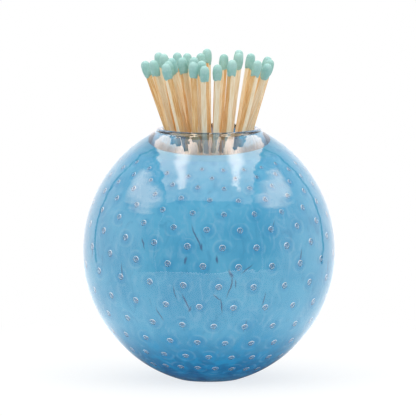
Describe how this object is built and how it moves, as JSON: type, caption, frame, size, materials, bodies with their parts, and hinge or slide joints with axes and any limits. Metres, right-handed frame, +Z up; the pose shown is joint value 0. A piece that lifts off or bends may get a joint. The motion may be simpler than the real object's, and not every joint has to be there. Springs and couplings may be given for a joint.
{
  "type": "match striker",
  "caption": "Heavy clear-cased blue glass ball with a lattice of trapped bubbles, a round lipped well in its top and wooden matches with mint heads standing in it.",
  "frame": {"origin": "centre of the ground foot, on the surface that the ball stands on", "axes": "+Z up along the ball's axis, -Y is the side that faces the viewer, +X to the viewer's right"},
  "size_m": [0.09, 0.09, 0.1161],
  "materials": {
    "clear_glass": "gloss",
    "blue_glass": "gloss",
    "stick_wood": "matte",
    "head_paste": "matte"
  },
  "bodies": {
    "root": {"clear_casing": "clear_glass", "blue_core": "blue_glass", "match_01_stick": "stick_wood", "match_02_stick": "stick_wood", "match_03_stick": "stick_wood", "match_04_stick": "stick_wood", "match_05_stick": "stick_wood", "match_06_stick": "stick_wood", "match_07_stick": "stick_wood", "match_08_stick": "stick_wood", "match_09_stick": "stick_wood", "match_10_stick": "stick_wood", "match_11_stick": "stick_wood", "match_12_stick": "stick_wood", "match_13_stick": "stick_wood", "match_14_stick": "stick_wood", "match_15_stick": "stick_wood", "match_16_stick": "stick_wood", "match_17_stick": "stick_wood", "match_18_stick": "stick_wood", "match_19_stick": "stick_wood", "match_20_stick": "stick_wood", "match_21_stick": "stick_wood", "match_22_stick": "stick_wood", "match_23_stick": "stick_wood", "match_24_stick": "stick_wood", "match_25_stick": "stick_wood", "match_26_stick": "stick_wood", "match_27_stick": "stick_wood", "match_01_head": "head_paste", "match_02_head": "head_paste", "match_03_head": "head_paste", "match_04_head": "head_paste", "match_05_head": "head_paste", "match_06_head": "head_paste", "match_07_head": "head_paste", "match_08_head": "head_paste", "match_09_head": "head_paste", "match_10_head": "head_paste", "match_11_head": "head_paste", "match_12_head": "head_paste", "match_13_head": "head_paste", "match_14_head": "head_paste", "match_15_head": "head_paste", "match_16_head": "head_paste", "match_17_head": "head_paste", "match_18_head": "head_paste", "match_19_head": "head_paste", "match_20_head": "head_paste", "match_21_head": "head_paste", "match_22_head": "head_paste", "match_23_head": "head_paste", "match_24_head": "head_paste", "match_25_head": "head_paste", "match_26_head": "head_paste", "match_27_head": "head_paste"}
  },
  "joints": []
}
